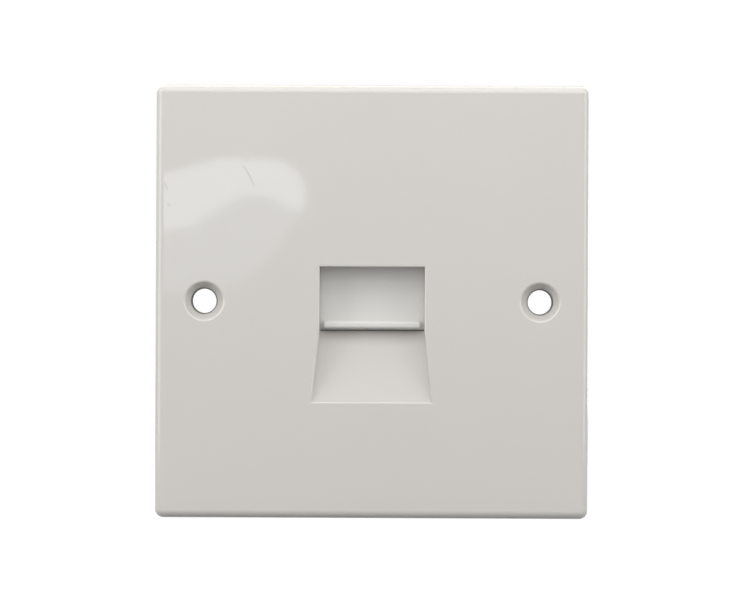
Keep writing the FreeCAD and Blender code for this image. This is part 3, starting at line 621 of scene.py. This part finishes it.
class SOCKET_OT_print_board(Operator):
    """Lays tracks, solder and printed numbers on the circuit board"""

    bl_idname = "socket.print_board"
    bl_label = "Print and solder the board"

    def execute(self, context):
        sizes, colours = context.scene.socket_sizes, context.scene.socket_colours
        dress(["circuit_board"], board_laminate(colours))
        back, front = BOARD[1].y, BOARD[0].y
        tails = [
            Vector((middle(node).x, back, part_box(node)[1].z - WIRE_RADIUS)) for node in CONTACTS
        ]
        pins = [middle(node) for node in TERMINALS]
        # Contact by contact: down the first block, then up the second, so that no tracks cross
        pins_by_contact = pins[:3] + pins[:2:-1]
        longest_slant = 2.25 * MM

        def tracks(shell):
            for tail, pin in zip(tails, pins_by_contact):
                away = math.copysign(1.0, pin.x)
                drop = tail.z - pin.z
                slant = min(abs(drop), longest_slant)
                route = [tail]
                if drop > slant:
                    route.append(Vector((tail.x, back, pin.z + slant)))
                route.append(Vector((tail.x + away * slant, back, pin.z)))
                route.append(Vector((pin.x, back, pin.z)))
                self.ribbon(shell, route, sizes.track_width, back + sizes.track_height)

        mesh = mesh_from("tracks", tracks)
        varnish = satin_plastic("track_varnish", shade(colours.mask, 2.0), 0.30)
        new_piece("board_tracks", mesh, "socket", varnish, smooth=False)

        rng = random.Random(7)
        tin = bright_metal("solder_tin", colours.tin, 0.16, drawn=(1.0, 1.0, 1.0))

        def solder(name, places, axis, foot, neck, height):
            """Joints with hollow sides, no two the same size; foot and neck are radii."""
            def cones(shell):
                for place in places:
                    size = rng.uniform(0.92, 1.06)
                    profile = (
                        (0.0, foot), (height * 0.12, foot * 0.86), (height * 0.35, foot * 0.62),
                        (height * 0.65, neck * 1.12), (height, neck),
                        (height * 1.03, neck * 0.4),
                    )
                    lathe(shell, place, axis, [(h, r * size) for h, r in profile], steps=28)

            new_piece(name, mesh_from(name, cones), "socket", tin)

        feet = [Vector((pin.x, front, pin.z)) for pin in pins]
        foot = sizes.solder_width / 2
        solder("contact_solder", tails, Vector((0, 1, 0)), foot, 0.33 * MM, 0.75 * MM)
        solder("terminal_solder", feet, Vector((0, -1, 0)), foot * 1.25, 0.5 * MM, 0.6 * MM)

        # Each number stands beside its block, a little lower than its blade, clear of the holes
        ink = satin_plastic("board_ink", colours.print, 0.55)
        inward, below = 5.3 * MM, 1.75 * MM
        for index, pin in enumerate(pins_by_contact):
            side = math.copysign(1.0, pin.x)
            place = Vector((pin.x - side * inward, back, pin.z - below))
            self.number(str(index + 1), place, sizes.number_height, ink)
        return {"FINISHED"}

    def ribbon(self, shell, route, width, top):
        """A flat track along the route."""
        left, right = [], []
        for index, point in enumerate(route):
            before = point - route[index - 1] if index else route[1] - point
            after = route[index + 1] - point if index + 1 < len(route) else before
            along = (before.normalized() + after.normalized()).normalized()
            across = Vector((-along.z, 0, along.x))
            # A corner is mitred, so it reaches further out than the half width
            bend = max(along.dot(after.normalized()), 0.5)
            reach = across * (width / 2 / bend)
            left.append(point - reach)
            right.append(point + reach)
        rings = []
        for low_side, high_side in zip(left, right):
            rings.append([
                low_side, high_side,
                Vector((high_side.x, top, high_side.z)), Vector((low_side.x, top, low_side.z)),
            ])
        skin(shell, rings)

    def number(self, text, place, height, material):
        """A printed number that reads from behind."""
        curve = bpy.data.curves.new(f"number_{text}", "FONT")
        curve.body = text
        size_per_height = 1.4
        curve.size = height * size_per_height
        curve.align_x = curve.align_y = "CENTER"
        curve.extrude = 0.01 * MM
        letter = bpy.data.objects.new("letter", curve)
        bpy.context.scene.collection.objects.link(letter)
        mesh = bpy.data.meshes.new_from_object(letter)
        bpy.data.objects.remove(letter)
        facing = Matrix(((-1, 0, 0), (0, 0, 1), (0, 1, 0))).to_4x4()
        mesh.transform(Matrix.Translation(place) @ facing)
        new_piece(
            f"board_number_{text}", mesh, "socket", material, smooth=False
        )


class SOCKET_OT_set_stage(Operator):
    """Sets the floor, the room, the lamps and the camera"""

    bl_idname = "socket.set_stage"
    bl_label = "Set the stage"

    def execute(self, context):
        stage = context.scene.socket_stage
        self.floor()
        self.room(context, stage)
        for name, setting, place, size in LAMPS:
            self.lamp(name, place, size, getattr(stage, setting))
        self.reflectors(stage)
        self.camera(context, stage)
        context.scene.view_settings.view_transform = "Standard"
        return {"FINISHED"}

    def seen(self, net):
        """1 for what the camera sees, directly or in gloss or glass."""
        paths = net.node("ShaderNodeLightPath").socket.node.outputs
        kinds = ("Is Camera Ray", "Is Glossy Ray", "Is Transmission Ray")
        camera, gloss, glass = (Signal(net, paths[kind]) for kind in kinds)
        return camera.most(gloss).most(glass)

    def floor(self):
        """A pale sheet under the plate that keeps its shadow."""
        mesh = bpy.data.meshes.new("floor")
        level = CAD_BOX[0].z
        signs = ((-1, -1), (1, -1), (1, 1), (-1, 1))
        corners = [(x * FLOOR_HALF, y * FLOOR_HALF, level) for x, y in signs]
        mesh.from_pydata(corners, [], [(0, 1, 2, 3)])
        floor = bpy.data.objects.new("floor", mesh)
        bpy.context.scene.collection.objects.link(floor)
        net = new_network("floor_paper")
        paper = net.node("ShaderNodeBsdfDiffuse", inputs={"Color": FLOOR_COLOUR})
        away = net.node(
            "ShaderNodeVectorMath", {"operation": "LENGTH"}, {0: net.place()}, output=1
        )
        far = net.ramp(away, FLOOR_NEAR_RADIUS, FLOOR_FAR_RADIUS)
        tone = net.mixed(far, FLOOR_NEAR, WHITE)
        lift = net.node("ShaderNodeEmission", inputs={"Color": tone, "Strength": self.seen(net)})
        both = net.node("ShaderNodeAddShader", inputs={0: paper, 1: lift})
        net.node("ShaderNodeOutputMaterial", inputs={"Surface": both})
        mesh.materials.append(net.owner)

    def room(self, context, stage):
        """A room that is white to the camera and gives little light of its own."""
        world = bpy.data.worlds.new("white_room")
        context.scene.world = world
        net = Network(world)
        strength = stage.room_light + self.seen(net) * (1.0 - stage.room_light)
        light = net.node(
            "ShaderNodeBackground", inputs={"Color": WHITE, "Strength": strength}
        )
        net.node("ShaderNodeOutputWorld", inputs={"Surface": light})

    def lamp(self, name, place, size, power):
        """A rectangular lamp that faces the middle of the plate."""
        light = bpy.data.lights.new(name, "AREA")
        light.shape = "RECTANGLE"
        light.size, light.size_y = size
        light.energy = power
        lamp = bpy.data.objects.new(name, light)
        lamp.location = place
        lamp.rotation_euler = (-Vector(place)).to_track_quat("-Z", "Y").to_euler()
        lamp.visible_camera = False
        bpy.context.scene.collection.objects.link(lamp)

    def reflectors(self, stage):
        """Two cards that show only as soft reflections in the gloss of the plate."""
        spread = 1.0 + REFLECTOR_REACH / stage.distance
        for name, distance, glow, outline in REFLECTORS:
            corners = [
                (
                    stage.aim_x + (x * MM - stage.aim_x) * spread, PLATE[0].y - distance,
                    stage.aim_z + (z * MM - stage.aim_z) * spread,
                )
                for x, z in outline
            ]
            mesh = bpy.data.meshes.new(name)
            mesh.from_pydata(corners, [], [tuple(range(len(corners)))])
            card = bpy.data.objects.new(name, mesh)
            bpy.context.scene.collection.objects.link(card)
            card.visible_camera = card.visible_diffuse = card.visible_shadow = False
            card.visible_transmission = False
            net = new_network(name)
            light = net.node("ShaderNodeEmission", inputs={"Color": glow, "Strength": 1.0})
            net.node("ShaderNodeOutputMaterial", inputs={"Surface": light})
            mesh.materials.append(net.owner)

    def camera(self, context, stage):
        """A distant camera straight in front of the plate."""
        data = bpy.data.cameras.new("camera")
        data.sensor_fit = "HORIZONTAL"
        data.sensor_width = 36.0
        data.lens = data.sensor_width * stage.distance / stage.field
        data.clip_start, data.clip_end = 0.01, 20.0
        camera = bpy.data.objects.new("camera", data)
        camera.location = (stage.aim_x, PLATE[0].y - stage.distance, stage.aim_z)
        camera.rotation_euler = (math.pi / 2, stage.roll, 0.0)
        context.scene.collection.objects.link(camera)
        context.scene.camera = camera


class SOCKET_PT_parts(Panel):
    """Lists the socket's operators and settings"""

    bl_idname = "SOCKET_PT_parts"
    bl_label = "Wall socket"
    bl_space_type = "VIEW_3D"
    bl_region_type = "UI"
    bl_category = "Wall socket"

    def draw(self, context):
        for operator in OPERATORS:
            self.layout.operator(operator.bl_idname)
        for group in GROUPS:
            settings = getattr(context.scene, group)
            column = self.layout.column()
            for name in GROUPS[group].__annotations__:
                column.prop(settings, name)


GROUPS = {
    "socket_colours": SocketColours,
    "socket_sizes": SocketSizes,
    "socket_stage": SocketStage,
}
OPERATORS = (
    SOCKET_OT_finish_mouldings,
    SOCKET_OT_finish_metal,
    SOCKET_OT_wind_spring,
    SOCKET_OT_print_board,
    SOCKET_OT_set_stage,
)
CLASSES = (*GROUPS.values(), *OPERATORS, SOCKET_PT_parts)


def register():
    for each in CLASSES:
        bpy.utils.register_class(each)
    for name, group in GROUPS.items():
        setattr(bpy.types.Scene, name, PointerProperty(type=group))


def unregister():
    for name in GROUPS:
        delattr(bpy.types.Scene, name)
    for each in reversed(CLASSES):
        bpy.utils.unregister_class(each)


def main():
    register()
    bpy.ops.socket.finish_mouldings()
    bpy.ops.socket.finish_metal()
    bpy.ops.socket.wind_spring()
    bpy.ops.socket.print_board()
    bpy.ops.socket.set_stage()


if __name__ == "__main__":
    main()
